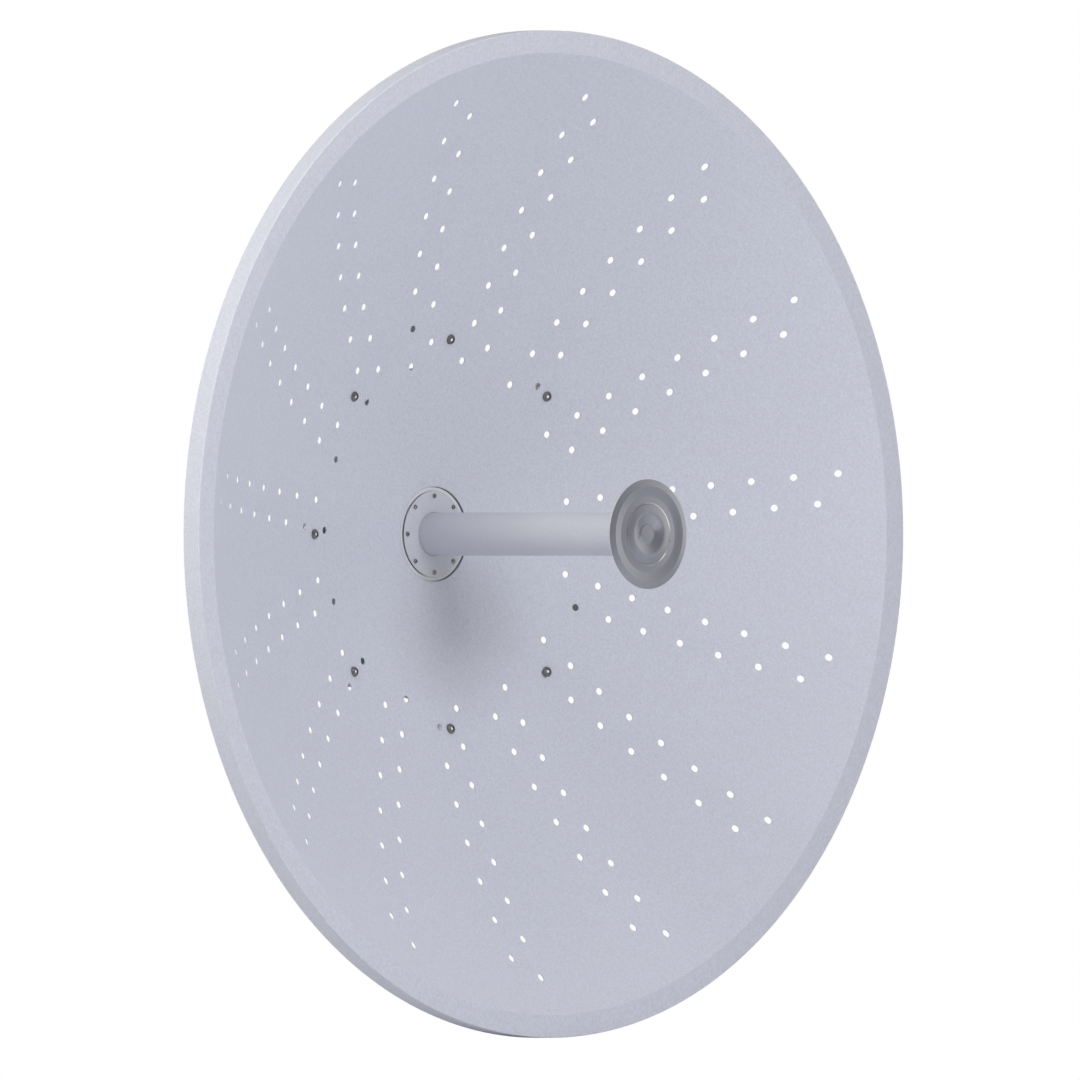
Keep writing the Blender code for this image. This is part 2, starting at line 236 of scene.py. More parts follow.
def drill(piece, places, profile, segments=20):
    # cuts one turned hole at each place and keeps the result as the piece's mesh
    cutter = bmesh.new()
    for place in places:
        verts, faces = turnedShape(profile, segments)
        made = [cutter.verts.new(place @ Vector(spot)) for spot in verts]
        for face in faces:
            cutter.faces.new([made[i] for i in face])
    bmesh.ops.recalc_face_normals(cutter, faces=cutter.faces)
    mesh = bpy.data.meshes.new("drillBits")
    cutter.to_mesh(mesh)
    cutter.free()
    tool = addObject("drillBits", mesh)
    boolean = piece.modifiers.new("drill", "BOOLEAN")
    boolean.operation = "DIFFERENCE"
    boolean.solver = "EXACT"
    boolean.object = tool
    bpy.context.view_layer.update()
    shading = piece.modifiers["cleanShading"]
    shading.show_viewport = False
    ready = piece.evaluated_get(bpy.context.evaluated_depsgraph_get())
    drilled = bpy.data.meshes.new_from_object(ready)
    piece.modifiers.remove(boolean)
    shading.show_viewport = True
    piece.data = drilled
    drilled.set_sharp_from_angle(angle=math.radians(sharpAngle))
    bpy.data.objects.remove(tool, do_unlink=True)


def triangulated(loops, fill):
    # the first loop is the outline and the others are holes, all anticlockwise
    points, sides = [], []
    for loop in loops:
        sides.append(list(range(len(points), len(points) + len(loop))))
        points += loop
    points += fill
    spots, _, faces, oldSpots, _, owners = delaunay_2d_cdt(
        [Vector(point) for point in points], [], sides, 0, 1e-7, True)
    kept = [tuple(face) for face, owner in zip(faces, owners) if list(owner) == [0]]
    newNumber = {old: new for new, group in enumerate(oldSpots) for old in group}
    return spots, kept, [[newNumber[i] for i in side] for side in sides]


def sheetShape(outline, holes, fill, frontOf, backOf, edge, rim=None):
    # a sheet between two surfaces, with a small chamfer round every hole and edge;
    # rim is a profile that runs from the front of a round outline to its back
    spots, front, loops = triangulated([outline] + holes, fill)
    count = len(spots)
    verts = [(x, y, frontOf(x, y)) for x, y in spots] + [(x, y, backOf(x, y)) for x, y in spots]
    faces = front + [tuple(i + count for i in reversed(face)) for face in front]
    for number, loop in enumerate(loops):
        flat = [tuple(spots[i]) for i in loop]
        if rim and number == 0:
            walls = []
            for radius, height in rim:
                walls.append([(*(Vector(spot).normalized() * radius), height) for spot in flat])
        else:
            moved = offsetLoop(flat, -edge if number else edge)
            walls = [
                [(*new, frontOf(*old) - edge) for new, old in zip(moved, flat)],
                [(*new, backOf(*old) + edge) for new, old in zip(moved, flat)]]
        rings = [loop]
        for wall in walls:
            rings.append(list(range(len(verts), len(verts) + len(wall))))
            verts += wall
        rings.append([i + count for i in loop])
        bridgeRings(faces, rings)
    return verts, faces


def nodeDepths(node):
    # front and back of a node along the dish axis
    low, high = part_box(node)
    return -bowlDistance - low.y, -bowlDistance - high.y


# materials

def addNode(tree, kind, inputs=None, **settings):
    # an input's value is a number, a colour, or another node's output socket
    made = tree.nodes.new(kind)
    for name, value in settings.items():
        setattr(made, name, value)
    for key, value in (inputs or {}).items():
        if isinstance(value, bpy.types.NodeSocket):
            tree.links.new(value, made.inputs[key])
        else:
            made.inputs[key].default_value = value
    return made


def addMath(tree, operation, first, second=0.0, third=0.0, clamp=False):
    made = addNode(tree, "ShaderNodeMath", {0: first, 1: second, 2: third}, operation=operation)
    made.use_clamp = clamp
    return made.outputs[0]


def addVector(tree, operation, first, second=None, scale=None):
    inputs = {0: first}
    if second is not None:
        inputs[1] = second
    if scale is not None:
        inputs["Scale"] = scale
    made = addNode(tree, "ShaderNodeVectorMath", inputs, operation=operation)
    return made.outputs["Value" if operation in ("LENGTH", "DOT_PRODUCT") else "Vector"]


def addNoise(tree, where, scale, detail, along="Vector", **settings):
    inputs = {along: where, "Scale": scale, "Detail": detail}
    return addNode(tree, "ShaderNodeTexNoise", inputs, **settings).outputs[0]


def objectSpot(tree):
    return addNode(tree, "ShaderNodeTexCoord").outputs["Object"]


def mixColours(tree, factor, first, second):
    inputs = {0: factor, 6: first, 7: second}
    return addNode(tree, "ShaderNodeMix", inputs, data_type="RGBA").outputs[2]


def startGroup(name, inputs, outputs):
    group = bpy.data.node_groups.new(name, "ShaderNodeTree")
    for label, value in inputs.items():
        socket = group.interface.new_socket(
            name=label, in_out="INPUT", socket_type="NodeSocketFloat")
        socket.default_value = value
    for label in outputs:
        group.interface.new_socket(name=label, in_out="OUTPUT", socket_type="NodeSocketFloat")
    start = group.nodes.new("NodeGroupInput")
    end = group.nodes.new("NodeGroupOutput")
    return group, start.outputs, end.inputs


def makePaintGrain():
    # the fine orange peel of sprayed paint, its specks and slow cloudy changes
    group, given, out = startGroup(
        "paintGrain", {"Grain Size": 0.001, "Cloud Size": 0.08}, ("Height", "Speck", "Cloud"))
    where = objectSpot(group)
    fine = addMath(group, "DIVIDE", 1.0, given["Grain Size"])
    wide = addMath(group, "DIVIDE", 1.0, given["Cloud Size"])
    apart = addVector(group, "ADD", where, (3.7, 1.9, 5.3))
    group.links.new(addNoise(group, where, fine, 2.0), out["Height"])
    group.links.new(addNoise(group, apart, fine, 1.0), out["Speck"])
    group.links.new(addNoise(group, where, wide, 3.0), out["Cloud"])
    return group


def makeEdgeWear():
    # convex edges, found from how the mesh bends at each point and broken up by noise
    group, given, out = startGroup("edgeWear", {
        "Start": 0.53, "Chip Scale": 260.0, "Contrast": 14.0, "Strength": 1.0}, ("Mask",))
    bend = addNode(group, "ShaderNodeNewGeometry").outputs["Pointiness"]
    past = addMath(group, "SUBTRACT", bend, given["Start"], clamp=True)
    chips = addNoise(group, objectSpot(group), given["Chip Scale"], 3.0)
    broken = addMath(group, "MULTIPLY", past, chips)
    strong = addMath(group, "MULTIPLY", broken, given["Contrast"])
    group.links.new(addMath(group, "MULTIPLY", strong, given["Strength"], clamp=True), out["Mask"])
    return group


def makeDustFilm():
    # thin dust on what faces up, in noisy patches with bare spots between
    group, given, out = startGroup("dustFilm", {
        "Amount": 0.2, "Patch Size": 0.03, "Bare Share": 0.35}, ("Mask",))
    plain = addNode(group, "ShaderNodeNewGeometry")
    facing = addNode(group, "ShaderNodeSeparateXYZ", {0: plain.outputs["Normal"]}).outputs["Z"]
    upward = addMath(group, "MULTIPLY_ADD", facing, 0.5, 0.5, clamp=True)
    scale = addMath(group, "DIVIDE", 1.0, given["Patch Size"])
    patch = addNoise(group, objectSpot(group), scale, 5.0)
    lift = addMath(group, "SUBTRACT", patch, given["Bare Share"], clamp=True)
    both = addMath(group, "MULTIPLY", addMath(group, "MULTIPLY", lift, upward), 2.0)
    group.links.new(addMath(group, "MULTIPLY", both, given["Amount"], clamp=True), out["Mask"])
    return group


def makeTurningMarks():
    # rings that a lathe leaves round the dish axis
    group, given, out = startGroup("turningMarks", {
        "Ring Spacing": 0.0005, "Streak Share": 0.11}, ("Height", "Streak"))
    flat = addVector(group, "MULTIPLY", objectSpot(group), (1.0, 0.0, 1.0))
    rings = addMath(group, "DIVIDE", addVector(group, "LENGTH", flat), given["Ring Spacing"])
    slow = addMath(group, "MULTIPLY", rings, given["Streak Share"])
    for along, name in ((rings, "Height"), (slow, "Streak")):
        noise = addNoise(group, along, 1.0, 2.0, "W", noise_dimensions="1D")
        group.links.new(noise, out[name])
    return group


paintGrain = makePaintGrain()
edgeWear = makeEdgeWear()
dustFilm = makeDustFilm()
turningMarks = makeTurningMarks()


def placeGroup(tree, group, inputs):
    return addNode(tree, "ShaderNodeGroup", inputs, node_tree=group).outputs


def startMaterial(name, look):
    # gives the tree, its shader, and the three things that every finish here uses
    material = bpy.data.materials.new(name)
    material.use_nodes = True
    material.diffuse_color = (*look["colour"], 1)
    tree = material.node_tree
    shader = tree.nodes["Principled BSDF"]
    shader.inputs["Metallic"].default_value = look["metallic"]
    shader.inputs["Specular IOR Level"].default_value = look["specular"]
    grain = placeGroup(tree, paintGrain, {"Grain Size": look["grain"], "Cloud Size": look["cloud"]})
    return material, tree, shader, grain


def evenTint(tree, value, amount):
    # a factor about 1 that a value from 0 to 1 moves up and down by half the amount
    return addMath(tree, "MULTIPLY_ADD", value, amount, 1 - amount / 2)


def tintedGrain(tree, grain, look):
    # the base colour, a little lighter and darker from speck to speck and cloud to cloud
    speck = evenTint(tree, grain["Speck"], look["speckle"])
    cloud = evenTint(tree, grain["Cloud"], look["clouding"])
    both = addMath(tree, "MULTIPLY", speck, cloud)
    return addVector(tree, "SCALE", look["colour"], scale=both)


def finishMaterial(tree, shader, look, colour, rough, height):
    bump = addNode(tree, "ShaderNodeBump", {"Height": height, "Distance": look["bump"]})
    for value, name in ((colour, "Base Color"), (rough, "Roughness"), (bump.outputs[0], "Normal")):
        tree.links.new(value, shader.inputs[name])


# how far each effect moves a finish's roughness
roughening = {
    "paintCloud": 0.12, "dust": 0.25, "bareMetal": -0.15, "turnedStreak": 0.16,
    "turnedCloud": 0.06, "steelSpeck": 0.2, "rubbedSteel": -0.1}


def addRough(tree, value, effect, rough, clamp=False):
    return addMath(tree, "MULTIPLY_ADD", value, roughening[effect], rough, clamp)


def startRough(tree, look, value, effect):
    # a value from 0 to 1 moves the finish's own roughness up and down
    return addRough(tree, value, effect, look["roughness"] - roughening[effect] / 2)


def addWear(tree, look, colour):
    mask = placeGroup(tree, edgeWear, {"Strength": look["wear"]})["Mask"]
    return mask, mixColours(tree, mask, colour, (*look["bareColour"], 1))


def makePaint(name, look):
    # sprayed paint with bare metal showing in tiny chips along its edges, and dust
    material, tree, shader, grain = startMaterial(name, look)
    dust = placeGroup(
        tree, dustFilm, {"Amount": look["dust"], "Patch Size": look["dustPatch"]})["Mask"]
    colour = mixColours(tree, dust, tintedGrain(tree, grain, look), (*look["dustColour"], 1))
    wear, colour = addWear(tree, look, colour)
    rough = startRough(tree, look, grain["Cloud"], "paintCloud")
    rough = addRough(tree, dust, "dust", rough)
    rough = addRough(tree, wear, "bareMetal", rough, clamp=True)
    finishMaterial(tree, shader, look, colour, rough, grain["Height"])
    return material


def makeTurned(name, look):
    # metal off a lathe: rings in its colour, gloss and surface
    material, tree, shader, grain = startMaterial(name, look)
    marks = placeGroup(tree, turningMarks, {"Ring Spacing": look["rings"]})
    streak = evenTint(tree, marks["Streak"], look["streak"])
    colour = addVector(tree, "SCALE", tintedGrain(tree, grain, look), scale=streak)
    rough = startRough(tree, look, marks["Streak"], "turnedStreak")
    rough = addRough(tree, grain["Cloud"], "turnedCloud", rough, clamp=True)
    both = addMath(tree, "MULTIPLY_ADD", grain["Height"], look["grainBump"], marks["Height"])
    finishMaterial(tree, shader, look, colour, rough, both)
    return material


def makeSteel(name, look):
    # plated or bare steel of small parts, rubber too, and the flat painted shade and painted
    # highlights of the flange groove and the screw sockets: specks, rubbed edges
    material, tree, shader, grain = startMaterial(name, look)
    wear, colour = addWear(tree, look, tintedGrain(tree, grain, look))
    rough = startRough(tree, look, grain["Speck"], "steelSpeck")
    rough = addRough(tree, wear, "rubbedSteel", rough, clamp=True)
    finishMaterial(tree, shader, look, colour, rough, grain["Height"])
    return material


dishLook = {
    "colour": (0.572, 0.584, 0.676), "roughness": 0.58, "metallic": 0.0, "specular": 0.35,
    "grain": 0.0024, "cloud": 0.09, "speckle": 0.30, "clouding": 0.02, "bump": 0.00004,
    "wear": 0.35, "bareColour": (0.62, 0.63, 0.68),
    "dust": 0.10, "dustPatch": 0.035, "dustColour": (0.62, 0.61, 0.60)}
feedLook = dict(
    dishLook, colour=(0.548, 0.557, 0.628), roughness=0.50, grain=0.0016, speckle=0.14,
    dust=0.08)
rearLook = dict(
    dishLook, colour=(0.680, 0.690, 0.730), roughness=0.48, specular=0.5, cloud=0.02,
    clouding=0.16, speckle=0.06, bump=0.00002, wear=0.6, bareColour=(0.60, 0.60, 0.61))
turnedLook = {
    "colour": (0.392, 0.400, 0.462), "roughness": 0.30, "metallic": 0.88, "specular": 0.5,
    "grain": 0.0012, "cloud": 0.03, "speckle": 0.14, "clouding": 0.06, "bump": 0.000012,
    "grainBump": 0.4, "rings": 0.0006, "streak": 0.14}
darkSteelLook = {
    "colour": (0.20, 0.20, 0.205), "roughness": 0.38, "metallic": 0.85, "specular": 0.5,
    "grain": 0.0005, "cloud": 0.006, "speckle": 0.12, "clouding": 0.15, "bump": 0.00001,
    "wear": 0.7, "bareColour": (0.60, 0.60, 0.60)}
brightSteelLook = dict(
    darkSteelLook, colour=(0.80, 0.80, 0.80), roughness=0.30, speckle=0.06, clouding=0.06)
brassLook = dict(
    darkSteelLook, colour=(0.72, 0.53, 0.26), roughness=0.25, metallic=1.0,
    bareColour=(0.9, 0.75, 0.5))
rubberLook = dict(darkSteelLook, metallic=0.0, wear=0.0)
plugLook = dict(rubberLook, colour=(0.115, 0.115, 0.118), roughness=0.62, specular=0.3)
# dark grey for the flange groove's walls: painted shade standing in for the shade in the groove
grooveShadeLook = dict(rubberLook, colour=(0.19, 0.19, 0.195), roughness=0.70, specular=0.25)
liningLook = dict(rubberLook, colour=(0.80, 0.80, 0.78), roughness=0.45)
# a pale copy of the feed paint for the flange groove's floor: a painted highlight
paintedHighlightLook = dict(
    rubberLook, colour=(0.85, 0.86, 0.93), roughness=0.40, speckle=0.05, clouding=0.05)
# near white for the core in each screw socket: a painted highlight
socketHighlightLook = dict(paintedHighlightLook, colour=(0.96, 0.96, 0.97), speckle=0.06, clouding=0.06)

dishPaint = makePaint("dishPaint", dishLook)
feedPaint = makePaint("feedPaint", feedLook)
rearPaint = makePaint("rearPaint", rearLook)
turnedMetal = makeTurned("turnedMetal", turnedLook)
darkSteel = makeSteel("darkSteel", darkSteelLook)
brightSteel = makeSteel("brightSteel", brightSteelLook)
plugRubber = makeSteel("plugRubber", plugLook)
# painted shade and painted highlight for the flange groove
groovePaintedShade = makeSteel("groovePaintedShade", grooveShadeLook)
grooveFloorPaintedHighlight = makeSteel("grooveFloorPaintedHighlight", paintedHighlightLook)
# painted highlight in the screw sockets
socketPaintedHighlight = makeSteel("socketPaintedHighlight", socketHighlightLook)
pinBrass = makeSteel("pinBrass", brassLook)
whiteLining = makeSteel("whiteLining", liningLook)
print("materials made:", len(bpy.data.materials))


# reflector

bowl = {"rise": 0.001, "square": 0.6012, "fourth": 0.3222, "sheet": 0.0015}
holePattern = {
    "arms": 15, "pitch": 0.0401, "radius": 0.0037, "aside": 0.015,
    "long": (8, 0.1815), "short": (7, 0.2015),
    "plugged": ((8, "long", 1), (3, "short", 0))}
screwRing = {"count": 8, "circle": 0.203, "clearance": 0.0036}
reflector = {
    "bore": 0.0499, "boreSides": 128, "rimRadius": 0.525, "lipWidth": 0.0237, "lipRise": 0.0012,
    "lipLead": 0.002, "bowlEnd": 0.004, "skirtDepth": 0.0225, "rimEdge": 0.0012,
    "skirtEdge": 0.0005, "skirtCorner": 0.0008, "crease": 0.002, "backCrease": 0.001,
    "segments": 256, "holeEdge": 0.00025, "holeSides": 24, "spacing": 0.0125, "rowShare": 0.87,
    "roomShare": 0.45, "collarWidth": 0.7, "collarSides": 12}


def bowlHeight(radius):
    return bowl["rise"] + bowl["square"] * radius ** 2 + bowl["fourth"] * radius ** 4


def bowlSlope(radius):
    return 2 * bowl["square"] * radius + 4 * bowl["fourth"] * radius ** 3


screwSlope = bowlSlope(screwRing["circle"])
screwTilt = math.atan(screwSlope)


def bowlFront(x, y):
    return bowlHeight(math.hypot(x, y))


def bowlBack(x, y):
    radius = math.hypot(x, y)
    return bowlHeight(radius) - bowl["sheet"] * math.hypot(1, bowlSlope(radius))


def bowlPlace(circle, angle):
    # stands z along the bowl's normal, with x pointing outwards
    spot = (circle * math.cos(angle), circle * math.sin(angle), bowlHeight(circle))
    tilt = Matrix.Rotation(-math.atan(bowlSlope(circle)), 4, "Y")
    return dishFrame @ Matrix.Translation(spot) @ Matrix.Rotation(angle, 4, "Z") @ tilt


def patternSpot(arm, row, index):
    start = holePattern[row][1]
    aside = holePattern["aside"] if row == "long" else -holePattern["aside"]
    along = start + index * holePattern["pitch"]
    angle = math.radians(270) + arm * fullTurn / holePattern["arms"]
    return turnSpot(along, aside, angle)


def patternSpots():
    spots = []
    for arm in range(holePattern["arms"]):
        for row in ("long", "short"):
            spots += [patternSpot(arm, row, index) for index in range(holePattern[row][0])]
    return spots


def mergedLoop(first, second):
    # one outline round two overlapping circles, each a loop, its middle and its radius
    merged = []
    for (loop, _, _), (_, middle, radius) in ((first, second), (second, first)):
        free = [math.dist(spot, middle) > radius for spot in loop]
        start = next(i for i in range(len(loop)) if free[i] and not free[i - 1])
        order = [*range(start, len(loop)), *range(start)]
        merged += [loop[i] for i in order if free[i]]
    return merged


def reflectorHoles():
    # outlines of all holes, and the middle and radius of each but the bore
    edge = reflector["holeEdge"]
    sides = reflector["holeSides"]
    wide = holePattern["radius"] + edge
    holes, middles = [], []
    for spot in patternSpots():
        holes.append(circleLoop(*spot, wide, sides))
        middles.append((*spot, wide))
    drillCircle = screwRing["circle"] + bowl["sheet"] / 2 * math.sin(screwTilt)
    drillWide = screwRing["clearance"] + edge
    for spot in circleLoop(0, 0, drillCircle, screwRing["count"]):
        loop = circleLoop(*spot, drillWide, sides)
        near = [number for number, other in enumerate(middles)
                if math.dist(spot, other[:2]) < wide + drillWide]
        if near:  # one screw sits on the edge of a pattern hole
            other = near[0]
            holes[other] = mergedLoop(
                (holes[other], middles[other][:2], wide), (loop, spot, drillWide))
        else:
            holes.append(loop)
        middles.append((*spot, drillWide))
    holes.append(circleLoop(0, 0, reflector["bore"] + edge, reflector["boreSides"]))
    return holes, middles


def reflectorFill(middles, outer):
    # points between the holes, so that the bowl's curve is followed everywhere
    size = reflector

    def isFree(x, y, room):
        nearest = min(middles, key=lambda middle: math.dist((x, y), middle[:2]))
        return math.dist((x, y), nearest[:2]) > nearest[2] + room

    fill = []
    ringCount = round((outer - size["bore"]) / (size["spacing"] * size["rowShare"]))
    for ring in range(1, ringCount):
        radius = size["bore"] + (outer - size["bore"]) * ring / ringCount
        around = max(12, round(fullTurn * radius / size["spacing"]))
        for x, y in circleLoop(0, 0, radius, around, (ring % 2) * math.pi / around):
            if isFree(x, y, size["spacing"] * size["roomShare"]):
                fill.append((x, y))
    for across, up, radius in middles:
        wide = radius * (1 + size["collarWidth"])
        for x, y in circleLoop(across, up, wide, size["collarSides"]):
            if isFree(x, y, radius * (size["collarWidth"] - 0.05)):
                fill.append((x, y))
    return fill


def buildReflector():
    size = reflector
    lipInner = size["rimRadius"] - size["lipWidth"]
    outer = lipInner - size["bowlEnd"]
    lipHeight = bowlHeight(lipInner)
    front = lipHeight + size["lipRise"]
    skirtEnd = front - size["skirtDepth"]
    sheet = bowl["sheet"]
    inside = size["rimRadius"] - sheet
    creaseBack = lipInner + sheet * math.tan(math.atan(bowlSlope(lipInner)) / 2)
    rim = rounded([
        (outer, bowlHeight(outer)),
        (lipInner - size["lipLead"], bowlHeight(lipInner - size["lipLead"])),
        (lipInner, lipHeight, size["crease"]),
        (size["rimRadius"], front, size["rimEdge"]),
        (size["rimRadius"], skirtEnd, size["skirtEdge"]),
        (inside, skirtEnd, size["skirtEdge"]),
        (inside, front - sheet, size["skirtCorner"]),
        (creaseBack, lipHeight - sheet, size["backCrease"]),
        (outer, bowlBack(outer, 0))], steps=4)[1:-1]
    outline = circleLoop(0, 0, outer, size["segments"])
    holes, middles = reflectorHoles()
    fill = reflectorFill(middles, outer)
    shape = sheetShape(outline, holes, fill, bowlFront, bowlBack, size["holeEdge"], rim)
    return addPiece("reflector_dish", shape, [dishPaint], ["reflector"])


reflectorPiece = buildReflector()
print("reflector made,", len(reflectorPiece.data.polygons), "faces")


# plugs in two of the holes

plug = {
    "radius": 0.00365, "recess": 0.0003, "crown": 0.0002, "crownShare": 0.6, "depth": 0.0026,
    "edge": 0.0005, "segments": 32}


def buildPlugs():
    size = plug
    top = -size["recess"]
    profile = rounded([
        (0, top + size["crown"]), (size["radius"] * size["crownShare"], top + size["crown"] / 2),
        (size["radius"], top, size["edge"]), (size["radius"], -size["depth"], size["edge"]),
        (0, -size["depth"])])
    for number, (arm, row, index) in enumerate(holePattern["plugged"], start=1):
        x, y = patternSpot(arm, row, index)
        place = bowlPlace(math.hypot(x, y), math.atan2(y, x))
        shape = turnedShape(profile, size["segments"])
        addPiece(f"hole_plug_disc_{number}", shape, [plugRubber],
                 [f"hole_plug_{number}"], place)


buildPlugs()


# screws, spacers and nuts that carry the reflector

screw = {
    "gap": 0.0003, "headRadius": 0.00535, "headHeight": 0.0033, "shank": 0.00295, "length": 0.0172,
    "socket": 0.0052, "socketDepth": 0.0015, "core": 0.0016, "coreRise": 0.0004,
    "socketEdge": 0.00025, "topRadius": 0.0034, "dome": (0.84, 0.72, 0.003), "rim": 0.0009,
    "threadLap": 0.0005, "threadDepth": 0.00045, "pitch": 0.001, "tip": 0.0006,
    "segments": 36}
spacer = {
    "inner": 0.0036, "outer": 0.012, "front": -0.0017, "length": 0.0048, "edge": 0.0004,
    "segments": 48}
nut = {
    "acrossFlats": 0.010, "front": -0.0095, "height": 0.005, "edge": 0.0004, "play": 0.0004,
    "faceShare": 0.96, "chamfer": 0.58, "segments": 48}


def screwShape():
    size = screw
    low = size["gap"]
    top = low + size["headHeight"]
    floor = top - size["socketDepth"]
    count = size["segments"]
    rings = [
        [(0, 0, floor + size["coreRise"])],
        roundRing(size["core"] * 0.7, floor + size["coreRise"], count),
        roundRing(size["core"], floor + size["coreRise"] - hair, count),
        roundRing(size["core"] + hair, floor, count),
        hexRing(size["socket"], floor + hair, count),
        hexRing(size["socket"], top - size["socketEdge"], count),
        hexRing(size["socket"] + 2 * size["socketEdge"], top, count)]
    across, up, fillet = size["dome"]
    dome = rounded([
        (size["topRadius"], top, 0.0004),
        (size["headRadius"] * across, low + size["headHeight"] * up, fillet),
        (size["headRadius"], low + size["rim"], 0.0006), (size["headRadius"], low, 0.0002),
        (size["shank"], low)], steps=4)
    end = -size["length"]
    start = nut["front"] - nut["height"] + size["threadLap"]
    thread = threadProfile(size, size["shank"], start, end + size["tip"])
    shank = [*thread, (size["shank"] - size["tip"], end), (0, end)]
    return ringShape(rings + roundRings(dome + shank, count))


def nutShape():
    size = nut
    face = size["acrossFlats"] / 2 * size["faceShare"]
    inner = screw["shank"] + size["play"]
    edge = size["edge"]
    count = size["segments"]
    ends = []
    for height, side in ((size["front"], 1), (size["front"] - size["height"], -1)):
        ends.append(roundRings([
            (inner, height - side * edge), (inner + edge, height), (face, height)], count))
        ends[-1].append(hexRing(size["acrossFlats"], height, count, face, side * size["chamfer"]))
    return ringShape(ends[0] + ends[1][::-1], closed=True)


def buildReflectorFasteners():
    spacerEnd = spacer["front"] - spacer["length"]
    edge = spacer["edge"]
    spacerShape = turnedRing([
        (spacer["inner"], spacer["front"], edge), (spacer["outer"], spacer["front"], edge),
        (spacer["outer"], spacerEnd, edge), (spacer["inner"], spacerEnd, edge)],
        spacer["segments"])
    for number, angle in enumerate(circleAngles(screwRing["count"]), start=1):
        place = bowlPlace(screwRing["circle"], angle)
        piece = addPiece(f"reflector_screw_piece_{number}", screwShape(), [darkSteel, socketPaintedHighlight],
                         [f"reflector_screw_{number}"], place)
        # the core in the socket gets the white painted highlight, the rest of the screw dark steel
        finishFaces(piece, place, lambda radius, height, facing:
                    int(height > 0 and radius < screw["core"]))
        addPiece(f"spacer_ring_{number}", spacerShape, [rearPaint],
                 [f"spacer_{number}"], place)
        addPiece(f"hex_nut_{number}", nutShape(), [darkSteel],
                 [f"nut_{number}"], place)


buildReflectorFasteners()
print("reflector fasteners made")


# back plate, a pan with a lug behind each screw

backPlate = {
    "sheet": 0.003, "bore": 0.0523, "floorRadius": 0.110, "radius": 0.178, "bend": 0.008,
    "lugHalfWidth": 0.015, "lugInset": 0.0003, "lugDrop": 0.0065, "lugFillet": 0.008,
    "lugDepth": 0.0068, "lugBlend": (-0.012, 0.006), "holeShift": 0.0012, "edge": 0.0004,
    "segments": 96, "outlineSteps": (5, 12, 8),
    "rings": (0.062, 0.075, 0.088, 0.098, 0.103, 0.107, 0.110, 0.113, 0.117, 0.122, 0.132,
              0.144, 0.156, 0.167, 0.177, 0.187, 0.195)}


def plateLine(radius):
    normal = math.hypot(1, screwSlope)
    baseRadius = screwRing["circle"] + backPlate["lugDrop"] * screwSlope / normal
    baseHeight = bowlHeight(screwRing["circle"]) - backPlate["lugDrop"] / normal
    return baseHeight + screwSlope * (radius - baseRadius)


def panSection(radius):
    # height and slope of the pan's front, with its bend rounded
    bend = backPlate["bend"]
    past = radius - backPlate["floorRadius"]
    floor = plateLine(backPlate["floorRadius"])
    if past < -bend:
        return floor, 0.0
    if past > bend:
        return plateLine(radius), screwSlope
    rise = screwSlope * (past + bend) ** 2 / (4 * bend)
    return floor + rise, screwSlope * (past + bend) / (2 * bend)


def platePoint(x, y):
    # front and back heights; the lugs are flat, the pan is a cone
    radius = math.hypot(x, y)
    step = fullTurn / screwRing["count"]
    angle = round(math.atan2(y, x) / step) * step
    along = x * math.cos(angle) + y * math.sin(angle)
    flat = smoothStep(*backPlate["lugBlend"], radius - backPlate["radius"])
    height, slope = panSection(radius + (along - radius) * flat)
    inset = backPlate["lugInset"] * flat
    front = height - inset
    return front, front - (backPlate["sheet"] - 2 * inset) * math.hypot(1, slope)


def plateOutline():
    size = backPlate
    filletSteps, endSteps, gapSteps = size["outlineSteps"]
    endMiddle = screwRing["circle"] + size["lugDepth"] * math.sin(screwTilt)
    wide = size["lugHalfWidth"]
    fillet = size["lugFillet"]
    alongFillet = math.sqrt((size["radius"] + fillet) ** 2 - (wide + fillet) ** 2)
    half = math.atan2(wide + fillet, alongFillet)
    loop = []
    for turn in circleAngles(screwRing["count"]):
        local = []
        for step in range(filletSteps + 1):
            angle = math.pi - half + (half - math.pi / 2) * step / filletSteps
            local.append(spotAt(fillet, angle, alongFillet, -wide - fillet))
        side = [(x, -y) for x, y in reversed(local)]
        for step in range(endSteps + 1):
            angle = -math.pi / 2 + math.pi * step / endSteps
            across = wide * math.cos(screwTilt) * math.cos(angle)
            local.append((endMiddle + across, wide * math.sin(angle)))
        local += side
        gap = fullTurn / screwRing["count"] - 2 * half
        for step in range(1, gapSteps):
            local.append(spotAt(size["radius"], half + gap * step / gapSteps))
        loop += [turnSpot(x, y, turn) for x, y in local]
    return loop


def buildBackPlate():
    size = backPlate
    edge = size["edge"]
    outline = offsetLoop(plateOutline(), -edge)
    sides = size["segments"]
    shift = (size["lugDepth"] + size["holeShift"]) * math.sin(screwTilt)
    drillCircle = screwRing["circle"] + shift
    holes = [circleLoop(*spot, screwRing["clearance"] + edge, reflector["holeSides"])
             for spot in circleLoop(0, 0, drillCircle, screwRing["count"])]
    holes.append(circleLoop(0, 0, size["bore"] + edge, sides))
    fill = []
    for ring, radius in enumerate(size["rings"]):
        fill += circleLoop(0, 0, radius, sides, (ring % 2) * math.pi / sides)
    shape = sheetShape(outline, holes, fill, lambda x, y: platePoint(x, y)[0],
                       lambda x, y: platePoint(x, y)[1], edge)
    addPiece("back_plate_pan", shape, [rearPaint], ["back_plate"])


buildBackPlate()
print("back plate made")


# feed flange, its screws and the tube

